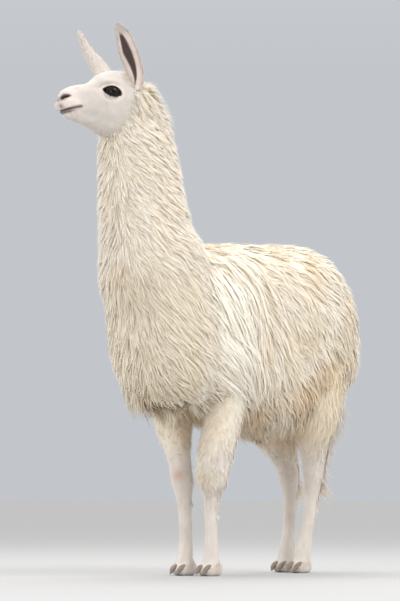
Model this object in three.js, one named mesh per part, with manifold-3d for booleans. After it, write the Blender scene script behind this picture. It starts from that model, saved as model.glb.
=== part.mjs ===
// A standing adult llama in long fleece, life size, as a still model.
// Millimetres, +X the way the trunk faces, +Y its left, +Z up. Every surface is the outer limit of the coat.
import * as THREE from "three";
import { mergeVertices } from "three/addons/utils/BufferGeometryUtils.js";
import Module from "manifold-3d";

const wasm = await Module();
wasm.setup();

// ---- driving sizes ----
const backHeight = 1150; // ground to the fleece along the back
const bellyHeight = 470; // ground to the hanging fleece
const trunkHalfWidth = 250;
const foreFootX = 270; // the feet, measured from the middle of the trunk
const hindFootX = -290;
const kneeHeight = 330; // middle of the carpus
const hockHeight = 335;
const headTurn = THREE.MathUtils.degToRad(-24); // the head looks to the animal's right
const headPlace = new THREE.Vector3(650, -34, 1592); // between the ears, at eye level
const parting = 0.3; // air left where two nodes meet
const deg = THREE.MathUtils.degToRad;

// ---- solids ----

// A value along a row of stations, by the uniform Catmull-Rom curve through columns first, first + 1, first + 2.
function along(stations, first) {
  const points = stations.map((s) => new THREE.Vector3(s[first], s[first + 1], s[first + 2]));
  return new THREE.CatmullRomCurve3(points, false, "catmullrom", 0.5);
}

const superPower = (value, power) => Math.sign(value) * Math.abs(value) ** power;

// A closed tube carried along a smooth path. A station is [x, y, z, half width, reach above, reach below, yaw]:
// above is the dorsal side, left of a path that climbs, and yaw turns the section's width in plan, in degrees.
// The ends are domes as long as caps says. Squareness 2 is an ellipse, and more fills the corners out.
function loft(stations, { sides, rings, caps, domeRings = 3, square = [2.2, 2.2], grow = 0 }) {
  const path = along(stations, 0);
  const sizes = along(stations, 3);
  const turns = along(stations.map((s) => [s[6] ?? 0, 0, 0]), 0);
  const frames = [];
  const addFrame = (t, shrink, slide) => {
    const normal = path.getTangent(t);
    const yaw = deg(turns.getPoint(t).x);
    const side = new THREE.Vector3(-Math.sin(yaw), Math.cos(yaw), 0);
    side.addScaledVector(normal, -side.dot(normal)).normalize();
    const up = normal.clone().cross(side);
    const centre = path.getPoint(t).addScaledVector(normal, slide);
    frames.push({ centre, side, up, size: sizes.getPoint(t), shrink });
  };
  for (let i = 1; i <= domeRings; i++) {
    const turn = (i / (domeRings + 1)) * (Math.PI / 2);
    addFrame(0, Math.sin(turn), -(caps[0] + grow) * Math.cos(turn));
  }
  for (let i = 0; i <= rings; i++) addFrame(i / rings, 1, 0);
  for (let i = domeRings; i >= 1; i--) {
    const turn = (i / (domeRings + 1)) * (Math.PI / 2);
    addFrame(1, Math.sin(turn), (caps[1] + grow) * Math.cos(turn));
  }
  const vertices = [];
  for (const { centre, side, up, size, shrink } of frames) {
    for (let k = 0; k < sides; k++) {
      const turn = (2 * Math.PI * k) / sides;
      const upper = Math.sin(turn) >= 0;
      const power = 2 / (upper ? square[0] : square[1]);
      const across = (size.x + grow) * superPower(Math.cos(turn), power) * shrink;
      const reach = (upper ? size.y : size.z) + grow;
      const rise = reach * superPower(Math.sin(turn), power) * shrink;
      vertices.push(centre.clone().addScaledVector(side, across).addScaledVector(up, rise));
    }
  }
  const ends = [path.getPoint(0).addScaledVector(path.getTangent(0), -caps[0] - grow)];
  ends.push(path.getPoint(1).addScaledVector(path.getTangent(1), caps[1] + grow));
  return closedTube(vertices, sides, ends);
}

// Rings of vertices, one after another, joined into a tube and closed to a point at each end.
function closedTube(vertices, sides, ends) {
  const ringCount = vertices.length / sides;
  const faces = [];
  for (let r = 0; r + 1 < ringCount; r++) {
    for (let k = 0; k < sides; k++) {
      const a = r * sides + k;
      const b = r * sides + ((k + 1) % sides);
      faces.push(a, b, b + sides, a, b + sides, a + sides);
    }
  }
  const first = vertices.length;
  const lastRing = (ringCount - 1) * sides;
  for (let k = 0; k < sides; k++) {
    const next = (k + 1) % sides;
    faces.push(first, next, k);
    faces.push(first + 1, lastRing + k, lastRing + next);
  }
  const geometry = new THREE.BufferGeometry().setFromPoints([...vertices, ...ends]);
  return geometry.setIndex(faces);
}

function solid(geometry) {
  const bare = geometry.clone();
  bare.deleteAttribute("normal");
  bare.deleteAttribute("uv");
  const merged = mergeVertices(bare, 1e-3);
  const mesh = new wasm.Mesh({
    numProp: 3,
    vertProperties: merged.attributes.position.array,
    triVerts: new Uint32Array(merged.index.array),
  });
  return new wasm.Manifold(mesh);
}

const join = (...solids) => solids.reduce((whole, piece) => whole.add(piece));
const largest = (piece) => piece.decompose().sort((a, b) => b.volume() - a.volume())[0];
const onGround = (piece) => piece.trimByPlane([0, 0, 1], 0);

// ---- trunk and neck ----
// x, y, z, half width, above, below
const trunkZ = 805;
const trunkTop = backHeight - trunkZ;
const trunkBottom = trunkZ - bellyHeight;
const trunkStations = [
  [-490, 0, trunkZ, 145, trunkTop - 168, 120],
  [-415, 0, trunkZ, 208, trunkTop - 72, 205],
  [-300, 0, trunkZ, trunkHalfWidth - 5, trunkTop + 2, 270],
  [-120, 0, trunkZ, trunkHalfWidth + 5, trunkTop + 8, trunkBottom],
  [60, 0, trunkZ, trunkHalfWidth, trunkTop, trunkBottom - 15],
  [220, 0, trunkZ, trunkHalfWidth - 10, trunkTop - 8, 285],
  [370, 0, trunkZ, 205, trunkTop - 20, 250],
  [460, 0, trunkZ, 150, trunkTop - 70, 190],
];
const trunkShape = { sides: 20, rings: 14, caps: [55, 60], square: [2.5, 2.5] };

// The column of chest and neck, from the brisket up to the throat: half width, reach back, reach forward, yaw
const columnStations = [
  [398, 0, 598, 158, 130, 142],
  [420, 0, 680, 190, 170, 180],
  [444, 0, 800, 195, 190, 188],
  [472, -4, 930, 187, 190, 188],
  [505, -12, 1050, 176, 185, 196],
  [532, -24, 1160, 148, 163, 166, -2],
  [546, -30, 1285, 126, 150, 156, -6],
  [566, -32, 1440, 110, 130, 140, -14],
  [584, -35, 1540, 94, 112, 120, -20],
  [602, -38, 1620, 78, 82, 92, -24],
];
const columnShape = { sides: 18, rings: 17, caps: [72, 45], square: [2.1, 2.1] };
const neckCutPoint = [300, 0, 1152]; // the parting of neck and trunk runs from the withers to the chest
const neckCutSlope = deg(28);

// ---- legs ----
// A leg hangs from the trunk: x, y, z, half width, reach back, reach forward. It is written for the left side,
// from the top down. near and far say how full its wool is.
function foreLegStations(side, wool) {
  const [x, y] = [foreFootX, side * 55];
  const out = (amount) => y + side * amount;
  return [
    [x + 5, out(72), 700, 82, 95, 95],
    [x, out(62), 600, 72, 72, 76],
    [x, out(48), 510, 64, 68, 66],
    [x + 2, out(28), 425, 42 + wool * 19, 50 + wool * 24, 46 + wool * 14],
    [x + 5, out(14), kneeHeight + 30, 37 + wool * 21, 42 + wool * 24, 42 + wool * 12],
    [x + 5, out(8), kneeHeight - 15, 36 + wool * 17, 38 + wool * 20, 42 + wool * 10],
    [x + 2, out(4), kneeHeight - 55, 31 + wool * 2, 32 + wool * 2, 34],
    [x - 1, out(1), kneeHeight - 105, 27, 29, 26],
    [x - 4, y, 150, 26, 28, 25],
    [x - 6, y, 95, 29, 30, 27],
    [x + 4, y, 52, 31, 30, 30],
  ];
}

function hindLegStations(side, x) {
  const y = side * 52;
  const out = (amount) => y + side * amount;
  return [
    [x + 35, out(88), 760, 104, 178, 160],
    [x + 28, out(80), 650, 104, 156, 138],
    [x - 4, out(66), 550, 92, 118, 92],
    [x - 31, out(45), 470, 63, 94, 52],
    [x - 51, out(29), 400, 45, 68, 40],
    [x - 54, out(18), hockHeight, 38, 48, 36],
    [x - 52, out(12), hockHeight - 55, 30, 34, 28],
    [x - 41, out(9), 210, 26, 28, 26],
    [x - 30, out(5), 145, 26, 27, 26],
    [x - 18, out(2), 95, 31, 32, 30],
    [x - 4, y, 52, 33, 32, 32],
  ];
}
const legShape = { sides: 10, rings: 14, caps: [30, 22], domeRings: 1 };

// A toe points forward and a little outward: the tread is flat and the claw lies on top of its tip.
const toeSpread = 16.5;
function toe(x, y, side) {
  const out = (amount) => y + side * amount;
  const stations = [
    [x - 34, out(toeSpread - 4), 34, 15, 22, 30],
    [x - 8, out(toeSpread - 1), 31, 18, 24, 36],
    [x + 20, out(toeSpread), 23, 18, 20, 30],
    [x + 42, out(toeSpread - 1), 16, 14, 13, 20],
  ];
  return solid(loft(stations, { sides: 8, rings: 3, caps: [12, 10], domeRings: 1 }));
}

function claw(x, y, side, grow) {
  const out = (amount) => y + side * amount;
  const stations = [
    [x + 24, out(toeSpread), 36, 6 + grow, 4 + grow, 5 + grow],
    [x + 41, out(toeSpread), 29, 9 + grow, 6 + grow, 8 + grow],
    [x + 55, out(toeSpread - 1), 18, 7 + grow, 6 + grow, 6 + grow],
    [x + 62, out(toeSpread - 2), 8, 4 + grow, 3 + grow, 3 + grow],
  ];
  return solid(loft(stations, { sides: 8, rings: 3, caps: [4 + grow, 2 + grow], domeRings: 1 }));
}

// ---- tail ----
const tailStations = [
  [-478, 0, 1045, 46, 36, 38],
  [-533, 0, 990, 58, 42, 44],
  [-562, 3, 905, 56, 42, 44],
  [-562, 7, 820, 38, 31, 32],
];
const tailShape = { sides: 10, rings: 6, caps: [30, 45], domeRings: 2 };

// ---- head ----
// In its own frame: forward from between the ears, left, and up from eye level, then half width, above and below.
const headStations = [
  [-62, 0, 14, 54, 66, 94],
  [-30, 0, 18, 66, 87, 128],
  [4, 0, 20, 71, 91, 140],
  [42, 0, 20, 75, 93, 142],
  [80, 0, 18, 72, 81, 136],
  [106, 0, 15, 63, 63, 127],
  [130, 0, 12, 53, 52, 110],
  [152, 0, 8, 46, 51, 99],
  [178, 0, 2, 41, 51, 86],
  [202, 0, -6, 39, 48, 75],
  [219, 0, -15, 35, 40, 66],
  [230, 0, -22, 28, 25, 54],
];
const headShape = { sides: 24, rings: 25, caps: [16, 13], domeRings: 2, square: [2.25, 1.95] };

// Swellings and hollows: place on the left side, reach along the same three ways, and how far the skin moves out.
const headForms = [
  [[68, 66, 62], [32, 26, 15], 6], // brow over the eye
  [[66, 72, 6], [30, 24, 12], 3], // below the eye
  [[14, 70, -50], [50, 30, 46], 5], // cheek
  [[112, 48, 14], [22, 20, 16], -4], // hollow before the eye
  [[150, 42, -52], [40, 20, 14], -4], // hollow behind the lips
  [[226, 29, 27], [16, 17, 10], 3], // wing of the nostril
  [[236, 25, 10], [12, 12, 11], -8], // nostril
  [[216, 36, 10], [14, 12, 5], -5], // tail of the nostril
  [[240, 24, -22], [17, 18, 13], 5], // lobe of the upper lip
  [[252, 0, -20], [14, 5, 24], -5], // cleft of the upper lip
  [[222, 14, -54], [17, 22, 9], 3], // lower lip
];
const mouthFront = new THREE.Vector3(240, 8, -42);
const mouthCorner = new THREE.Vector3(182, 43, -24);
const mouthDepth = 5;
const mouthHalfHeight = 4;

// The head's surface moved along its own normals by the forms above, the same on both sides, and by grow all over.
function shapeHead(geometry, grow) {
  geometry.computeVertexNormals();
  const places = geometry.attributes.position;
  const normals = geometry.attributes.normal;
  const mouth = new THREE.Line3(mouthFront, mouthCorner);
  const point = new THREE.Vector3();
  const nearest = new THREE.Vector3();
  for (let i = 0; i < places.count; i++) {
    point.fromBufferAttribute(places, i);
    const folded = new THREE.Vector3(point.x, Math.abs(point.y), point.z);
    let move = grow;
    for (const [[x, y, z], [rx, ry, rz], push] of headForms) {
      const far = ((folded.x - x) / rx) ** 2 + ((folded.y - y) / ry) ** 2 + ((folded.z - z) / rz) ** 2;
      move += push * Math.exp(-far);
    }
    mouth.closestPointToPoint(folded, true, nearest);
    const off = folded.sub(nearest);
    move -= mouthDepth * Math.exp(-((off.z / mouthHalfHeight) ** 2) - (off.x ** 2 + off.y ** 2) / 400);
    places.setXYZ(
      i,
      point.x + normals.getX(i) * move,
      point.y + normals.getY(i) * move,
      point.z + normals.getZ(i) * move,
    );
  }
  return geometry;
}

// ---- eyes ----
const eyeRadius = 25;
const eyePlace = new THREE.Vector3(66, 54, 31);
const eyeOpening = { length: 52, height: 35, tilt: deg(-12) };
const eyeTurn = deg(68); // from straight ahead to the way the eye looks

function placedEye(side) {
  return new THREE.Vector3(eyePlace.x, side * eyePlace.y, eyePlace.z);
}

// An almond-shaped bar from the eye's centre outwards, which opens the lids.
function lidCutter(side) {
  const half = eyeOpening.length / 2;
  const almond = new THREE.Shape();
  almond.moveTo(-half, 0);
  almond.bezierCurveTo(-half * 0.55, eyeOpening.height * 0.62, half * 0.5, eyeOpening.height * 0.66, half, 0);
  almond.bezierCurveTo(half * 0.5, -eyeOpening.height * 0.6, -half * 0.55, -eyeOpening.height * 0.7, -half, 0);
  const bar = new THREE.ExtrudeGeometry(almond, { depth: 70, bevelEnabled: false, curveSegments: 5 });
  bar.rotateZ(side * eyeOpening.tilt);
  bar.rotateX(Math.PI / 2); // depth now runs along -Y, and the almond stands upright
  bar.rotateZ(side > 0 ? Math.PI : 0);
  bar.rotateZ(side * (eyeTurn - Math.PI / 2));
  return bar.translate(...placedEye(side).toArray());
}

// ---- ears ----
// The section is a crescent, hollow in front: below is negative where the ear is cupped. The last column is yaw.
// The left ear stands up and listens ahead; the right one leans forward and turns its hollow out to the side.
const leftEarStations = [
  [-24, 50, 50, 24, 18, 14, 38],
  [-20, 62, 82, 29, 19, 4, 38],
  [-3, 71, 118, 33, 19, -10, 40],
  [19, 80, 162, 35, 17, -10, 42],
  [37, 84, 208, 29, 13, -7, 42],
  [55, 81, 243, 17, 8, -2, 42],
];
const rightEarStations = [
  [8, -46, 46, 32, 18, 14, -70],
  [24, -62, 80, 38, 20, 4, -80],
  [33, -88, 116, 37, 20, -10, -86],
  [51, -109, 154, 30, 18, -10, -88],
  [71, -123, 193, 20, 14, -7, -86],
  [89, -131, 239, 11, 7, -2, -82],
];
const earShape = { sides: 10, rings: 9, caps: [12, 18], domeRings: 2 };

// ---- assembly ----
const headMatrix = new THREE.Matrix4().makeRotationZ(headTurn).setPosition(headPlace);
const onHead = (geometry) => solid(geometry.applyMatrix4(headMatrix));

const trunkLoft = (grow) => solid(loft(trunkStations, { ...trunkShape, grow }));
const columnLoft = (grow) => solid(loft(columnStations, { ...columnShape, grow }));
const body = join(trunkLoft(0), columnLoft(0));
const bodyGrown = join(trunkLoft(parting), columnLoft(parting));

const cutNormal = [Math.sin(neckCutSlope), 0, Math.cos(neckCutSlope)];
const cutOffset = cutNormal[0] * neckCutPoint[0] + cutNormal[2] * neckCutPoint[2];
const headLoft = (grow) => onHead(shapeHead(loft(headStations, headShape), grow));

const trunk = largest(body.trimByPlane(cutNormal.map((v) => -v), parting / 2 - cutOffset));
const neckWhole = largest(body.trimByPlane(cutNormal, cutOffset + parting / 2));
const neck = largest(neckWhole.subtract(headLoft(parting)));

const eyeball = (side, grow) => {
  const ball = new THREE.SphereGeometry(eyeRadius + grow, 12, 8);
  return onHead(ball.translate(...placedEye(side).toArray()));
};
const sockets = join(...[1, -1].flatMap((side) => [eyeball(side, parting), onHead(lidCutter(side))]));
const head = largest(headLoft(0).subtract(sockets));

const skull = join(headLoft(parting), columnLoft(parting));
const ear = (stations) => largest(onHead(loft(stations, earShape)).subtract(skull));

const hindX = { left: hindFootX + 20, right: hindFootX - 30 };
const legs = [
  { name: "leg_front_left", foot: [foreFootX, 55], stations: foreLegStations(1, 1) },
  { name: "leg_front_right", foot: [foreFootX, -55], stations: foreLegStations(-1, 0.15) },
  { name: "leg_hind_left", foot: [hindX.left, 52], stations: hindLegStations(1, hindX.left) },
  { name: "leg_hind_right", foot: [hindX.right, -52], stations: hindLegStations(-1, hindX.right) },
];

const flesh = new THREE.MeshStandardMaterial({ color: 0xe9e0d0, roughness: 0.9, metalness: 0 });
const eyeSurface = new THREE.MeshStandardMaterial({ color: 0x17120f, roughness: 0.08, metalness: 0 });
const horn = new THREE.MeshStandardMaterial({ color: 0x4b423b, roughness: 0.5, metalness: 0 });

const llama = new THREE.Group();

function addNode(name, piece, material) {
  const made = piece.getMesh();
  const geometry = new THREE.BufferGeometry();
  geometry.setAttribute("position", new THREE.BufferAttribute(new Float32Array(made.vertProperties), 3));
  geometry.setIndex(new THREE.BufferAttribute(new Uint32Array(made.triVerts), 1));
  geometry.computeVertexNormals();
  const mesh = new THREE.Mesh(geometry, material);
  mesh.name = name;
  llama.add(mesh);
}

addNode("trunk", trunk, flesh);
addNode("neck", neck, flesh);
addNode("head", head, flesh);
addNode("ear_left", ear(leftEarStations), flesh);
addNode("ear_right", ear(rightEarStations), flesh);
addNode("eye_left", eyeball(1, 0), eyeSurface);
addNode("eye_right", eyeball(-1, 0), eyeSurface);
addNode("tail", largest(solid(loft(tailStations, tailShape)).subtract(bodyGrown)), flesh);

for (const { name, foot, stations } of legs) {
  const [x, y] = foot;
  const sides = [1, -1];
  const shaft = solid(loft(stations, legShape));
  const whole = onGround(join(shaft, ...sides.map((side) => toe(x, y, side))));
  const claws = join(...sides.map((side) => claw(x, y, side, parting)));
  addNode(name, largest(whole.subtract(bodyGrown).subtract(claws)), flesh);
  for (const side of sides) {
    const place = side > 0 ? "outer" : "inner";
    addNode(`${name.replace("leg", "claw")}_${y > 0 ? place : place === "outer" ? "inner" : "outer"}`,
      onGround(claw(x, y, side, 0)), horn);
  }
}

// The origin is on the ground, below the middle of everything.
const reach = new THREE.Box3().setFromObject(llama);
const middle = reach.getCenter(new THREE.Vector3());
llama.position.set(-middle.x, -middle.y, 0);

export default llama;
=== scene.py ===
import math

import bpy
import numpy as np
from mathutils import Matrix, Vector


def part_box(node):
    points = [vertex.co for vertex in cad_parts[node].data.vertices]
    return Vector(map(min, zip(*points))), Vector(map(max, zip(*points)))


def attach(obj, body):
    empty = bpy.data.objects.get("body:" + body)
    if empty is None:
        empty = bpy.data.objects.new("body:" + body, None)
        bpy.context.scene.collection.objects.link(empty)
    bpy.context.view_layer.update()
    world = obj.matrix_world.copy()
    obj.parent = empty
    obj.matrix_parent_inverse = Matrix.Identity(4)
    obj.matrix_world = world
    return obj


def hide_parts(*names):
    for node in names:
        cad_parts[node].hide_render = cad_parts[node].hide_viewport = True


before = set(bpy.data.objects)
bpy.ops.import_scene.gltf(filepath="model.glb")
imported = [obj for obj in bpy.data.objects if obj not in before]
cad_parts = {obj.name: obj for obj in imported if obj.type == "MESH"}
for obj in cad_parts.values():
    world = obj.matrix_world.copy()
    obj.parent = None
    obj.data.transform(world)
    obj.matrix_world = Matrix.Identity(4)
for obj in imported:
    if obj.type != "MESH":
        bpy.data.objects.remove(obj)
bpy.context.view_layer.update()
print("stage: frame loaded")

# The animal's own frame is in metres: x forward from mid trunk, y to its left, z up from the ground.
# Stations are millimetres: x, y, z, half width, reach above, reach below, turn of the section in degrees.


def unit(v):
    # v by its own length
    return v / np.maximum(np.linalg.norm(v, axis=-1, keepdims=True), 1e-12)


def dot(a, b):
    # the sum of the products along x, y and z
    return (a * b).sum(-1, keepdims=True)


def ease(value, low, high):
    # 0 below low, 1 above high, and a smooth S between them: 3w squared less 2w cubed
    w = np.clip((value - low) / (high - low), 0, 1)
    return w * w * (3 - 2 * w)


def fade(value, low, high):
    # 1 below low, 0 above high: ease the other way round
    return ease(-value, -high, -low)


def bell(value, width):
    # a bell curve: e to the power of minus the square of value by width
    return np.exp(-(value / width) ** 2)


def mound(p, place, reach):
    # a bell curve round a place, with its own reach along x, y and z
    return np.exp(-(((p - place) / reach) ** 2).sum(-1))


def xyz(p):
    # the three coordinates apart
    return np.moveaxis(p, -1, 0)


def around(count):
    # angles evenly round a circle
    return np.arange(count) / count * 2 * np.pi


def folded(p):
    # both sides laid on the left one: y loses its sign
    return p * [1, 0, 1] + np.abs(p) * [0, 1, 0]


def signedPower(value, power):
    # the power of the size, with the sign kept
    return np.sign(value) * np.abs(value) ** power


def ripple(p, size, seed):
    # slow waves through space, about -1 to 1: the mean of seven sines, each along its own random direction
    source = np.random.default_rng(seed)
    ways = unit(source.normal(size=(7, 3))) * 2 * np.pi / size * source.uniform(0.6, 1.7, (7, 1))
    return np.sin(p @ ways.T + source.uniform(0, 6.3, 7)).mean(-1) * 2.2


def smoothRow(rows, t):
    # the Catmull-Rom curve through the rows, t from 0 at the first to 1 at the last, and its slope by t
    count = len(rows)
    place = np.clip(t, 0, 1) * (count - 1)
    first = np.minimum(place.astype(int), count - 2)
    w = (place - first)[..., None]
    padded = np.vstack([2 * rows[0] - rows[1], rows, 2 * rows[-1] - rows[-2]])
    p0, p1, p2, p3 = (padded[first + i] for i in range(4))
    m1, m2 = (p2 - p0) / 2, (p3 - p1) / 2
    cubic = 2 * p1 - 2 * p2 + m1 + m2
    square = 3 * p2 - 3 * p1 - 2 * m1 - m2
    return ((cubic * w + square) * w + m1) * w + p1, ((3 * cubic * w + 2 * square) * w + m1) * (count - 1)


def limb(stations, caps, square=(2.2, 2.2), depth=0.0, turn=0.0, place=(0, 0, 0)):
    # depth is how deep the skin lies below the tips of the coat, in metres, or a function of angle and t
    rows = np.array([list(s) + [0] * (7 - len(s)) for s in stations], float)
    rows[:, :6] /= 1000
    c, s = math.cos(turn), math.sin(turn)
    spin = np.array([[c, -s, 0], [s, c, 0], [0, 0, 1]])
    wanted = depth if callable(depth) else lambda angle, t: 0 * angle * t + depth
    return {"rows": rows, "caps": np.array(caps) / 1000, "square": square, "depth": wanted,
            "spin": spin, "place": np.array(place, float)}


def section(part, t):
    # the frame of a section: its centre, the way along, the way across, the way up and the six sizes
    row, slope = smoothRow(part["rows"], t)
    along = unit(slope[..., :3])
    yaw = np.radians(row[..., 6])
    across = np.stack([-np.sin(yaw), np.cos(yaw), 0 * yaw], -1)
    across = unit(across - dot(across, along) * along)
    return row, along, across, np.cross(along, across)


def onLimb(part, angle, t, out=0.0):
    # A superellipse carried along a path. angle goes round it from the left over the top, and t runs 0 to 1
    # along it. Below 0 and above 1, t goes over the domed ends: sizes by a cosine, length by a sine.
    angle, t, out = np.broadcast_arrays(*(np.asarray(v, float) for v in (angle, t, out)))
    row, along, across, up = section(part, t)
    over = np.clip(np.maximum(-t, t - 1), 0, 1) * np.pi / 2
    caps = part["caps"]
    slide = np.where(t < 0, -(caps[0] + out), caps[1] + out) * np.sin(over)
    c, s = np.cos(angle), np.sin(angle)
    power = np.where(s >= 0, 2 / part["square"][0], 2 / part["square"][1])
    width = np.maximum(row[..., 3] + out, 0.003) * signedPower(c, power) * np.cos(over)
    reach = np.where(s >= 0, row[..., 4], row[..., 5]) + out
    rise = reach * signedPower(s, power) * np.cos(over)
    p = row[..., :3] + along * slide[..., None] + across * width[..., None] + up * rise[..., None]
    return p @ part["spin"].T + part["place"]


def slopes(part, angle, t, out):
    # how the surface moves with angle and with t, by small differences, and the unit normal outwards
    step = 2e-3
    byAngle = (onLimb(part, angle + step, t, out) - onLimb(part, angle - step, t, out)) / (2 * step)
    byT = (onLimb(part, angle, t + step, out) - onLimb(part, angle, t - step, out)) / (2 * step)
    return byAngle, byT, unit(np.cross(byAngle, byT))


def howFar(part, p, inset):
    # about 1 on the limb's surface moved in by inset, less inside and more outside: the place in the nearest
    # of sixty sections, measured in half sizes
    local = (p - part["place"]) @ part["spin"]
    t = np.linspace(0, 1, 60)
    row, along, across, up = section(part, t)
    nearest = ((local[:, None, :] - row[None, :, :3]) ** 2).sum(-1).argmin(1)
    off = local - row[nearest, :3]
    x, y, z = (dot(off, way[nearest])[:, 0] for way in (across, up, along))
    reach = np.where(y >= 0, row[nearest, 4], row[nearest, 5])
    ends = np.where(z < 0, part["caps"][0], part["caps"][1])
    sizes = (row[nearest, 3], reach, np.maximum(ends, 0.02))
    q = 2.3
    return sum((np.abs(v) / np.maximum(s - inset, 0.005)) ** q for v, s in zip((x, y, z), sizes)) ** (1 / q)


def nearLine(p, start, end):
    # how far along the line, 0 to 1, and how far off it each point is
    start, end = np.array(start, float), np.array(end, float)
    way = end - start
    w = np.clip((p - start) @ way / (way @ way), 0, 1)
    return w, np.linalg.norm(p - start - w[..., None] * way, axis=-1)


# the limbs, out to the tips of the coat, and first where the wool of the left flank ends over the thigh
crease = [(-0.26, 0.23, 0.8), (-0.18, 0.24, 0.7), (-0.1, 0.235, 0.63), (-0.04, 0.22, 0.575),
          (-0.09, 0.2, 0.5)]


def nearCrease(p):
    # how far off the nearest piece of the crease is
    return np.min([nearLine(folded(p), start, end)[1] for start, end in zip(crease, crease[1:])], axis=0)


def creaseFall(p, deep):
    # the coat lies lower along the crease, below the height of the back
    return deep * bell(nearCrease(p), 0.035) * fade(p[..., 2], 0.76, 0.86)


def rumpFall(p):
    # and a little lower over the top of the rump
    return 0.02 * fade(p[..., 0], -0.45, -0.3) * ease(p[..., 2], 0.8, 0.95)


def trunkDepth(angle, t):
    # 8 mm on the flanks, more under the belly and along the crease over the thigh
    flesh = 0.008 - 0.04 * np.minimum(np.sin(angle), 0) ** 3
    p = onLimb(body["trunk"], angle, t)
    return flesh + creaseFall(p, 0.02) + rumpFall(p)


def thickening(gain, low, high):
    # 3 mm at the far end of a limb, and gain more towards the body
    return lambda angle, t: 0.003 + gain * ease(1 - t, low, high)


trunkZ, back, belly = 805, 345, 335
body = {
    "trunk": limb([
        (-490, 0, trunkZ, 145, back - 168, 120), (-415, 0, trunkZ, 208, back - 72, 205),
        (-300, 0, trunkZ, 245, back + 2, 270), (-120, 0, trunkZ, 255, back + 8, belly),
        (60, 0, trunkZ, 250, back, belly - 15), (220, 0, trunkZ, 240, back - 8, 285),
        (370, 0, trunkZ, 205, back - 20, 250), (460, 0, trunkZ, 150, back - 70, 190),
    ], caps=(55, 60), square=(2.5, 2.5), depth=trunkDepth),
    "column": limb([
        (406, -14, 650, 160, 124, 144), (424, -4, 718, 188, 168, 178), (444, 0, 808, 195, 190, 188),
        (472, -4, 930, 187, 190, 188), (505, -12, 1050, 176, 185, 196), (532, -24, 1160, 148, 163, 166, -2),
        (546, -30, 1285, 126, 150, 156, -6), (566, -32, 1440, 110, 130, 140, -14),
        (584, -35, 1540, 94, 112, 120, -20), (602, -38, 1620, 78, 82, 92, -24),
    ], caps=(50, 45), square=(2.1, 2.1), depth=0.008),
    "tail": limb([
        (-478, 0, 1045, 46, 36, 38), (-533, 0, 990, 58, 42, 44), (-562, 3, 905, 56, 42, 44),
        (-562, 7, 820, 38, 31, 32),
    ], caps=(30, 45), depth=0.022),
}


def foreLeg(side, wool):
    # from the shoulder down to the foot, leaning outwards as it rises, and wool widens it round the knee
    x, y, knee = 270, side * 55, 330
    return [
        (x + 5, y + side * 72, 700, 82, 95, 95), (x, y + side * 62, 600, 72, 72, 76),
        (x, y + side * 48, 510, 64, 68, 66),
        (x + 2, y + side * 28, 425, 42 + wool * 19, 50 + wool * 24, 46 + wool * 14),
        (x + 5, y + side * 14, knee + 30, 37 + wool * 21, 42 + wool * 24, 42 + wool * 12),
        (x + 5, y + side * 8, knee - 15, 36 + wool * 17, 38 + wool * 20, 42 + wool * 10),
        (x + 2, y + side * 4, knee - 55, 31 + wool * 2, 32 + wool * 2, 34),
        (x - 1, y + side, knee - 105, 27, 29, 26),
        (x - 4, y, 150, 26, 28, 25), (x - 6, y, 95, 29, 30, 27), (x + 4, y, 52, 31, 30, 30),
    ]


def hindLeg(side, x):
    # from the hip over the thigh and the hock down to the foot at x
    y, hock = side * 52, 335
    return [
        (x + 35, y + side * 88, 760, 104, 178, 160), (x + 28, y + side * 80, 650, 104, 156, 138),
        (x - 4, y + side * 66, 550, 92, 118, 92), (x - 31, y + side * 45, 470, 63, 94, 52),
        (x - 51, y + side * 29, 400, 45, 68, 40), (x - 54, y + side * 18, hock, 38, 48, 36),
        (x - 52, y + side * 12, hock - 55, 30, 34, 28), (x - 41, y + side * 9, 210, 26, 28, 26),
        (x - 30, y + side * 5, 145, 26, 27, 26), (x - 18, y + side * 2, 95, 31, 32, 30),
        (x - 4, y, 52, 33, 32, 32),
    ]


for name, stations in {
    "legFrontLeft": foreLeg(1, 1), "legFrontRight": foreLeg(-1, 0.15),
    "legHindLeft": hindLeg(1, -270), "legHindRight": hindLeg(-1, -320),
}.items():
    depth = thickening(0.008 if "Hind" in name else 0.002, 0.4, 0.85)
    body[name] = limb(stations, caps=(30, 22), depth=depth)

toeSpread = 16.5
feet = {"legFrontLeft": (270, 55), "legFrontRight": (270, -55),
        "legHindLeft": (-270, 52), "legHindRight": (-320, -52)}
toes, claws = {}, {}
for name, (x, y) in feet.items():
    for side in (1, -1):
        o = y + side * toeSpread
        place = "outer" if side * y > 0 else "inner"
        toes[name + place] = limb([
            (x - 34, o - side * 4, 34, 15, 22, 36), (x - 8, o - side, 31, 18, 24, 35),
            (x + 20, o, 23, 18, 20, 27), (x + 42, o - side, 16, 14, 13, 19),
        ], caps=(12, 10), square=(2.2, 3), depth=0.0015)
        claws[(name, place)] = limb([
            (x + 22, o, 37, 6, 4, 5), (x + 40, o, 30, 9.5, 6, 8), (x + 54, o - side, 19, 7.5, 6, 6.5),
            (x + 62, o - side * 2, 8, 4, 3, 3),
        ], caps=(4, 2), square=(2.4, 2.2))

headTurn, headPlace = math.radians(-24), np.array([650, -34, 1592]) / 1000
headWay = np.array([math.cos(headTurn), math.sin(headTurn), 0.0])


def onHead(stations, caps, square, depth):
    # a limb in the head's own frame, which is turned about z and moved to the head's place
    return limb(stations, caps, square, depth, headTurn, headPlace)


def fromHead(p):
    # from the head's own frame to the animal's
    return p @ body["head"]["spin"].T + headPlace


def toHead(p):
    # and back
    return (p - headPlace) @ body["head"]["spin"]


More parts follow.
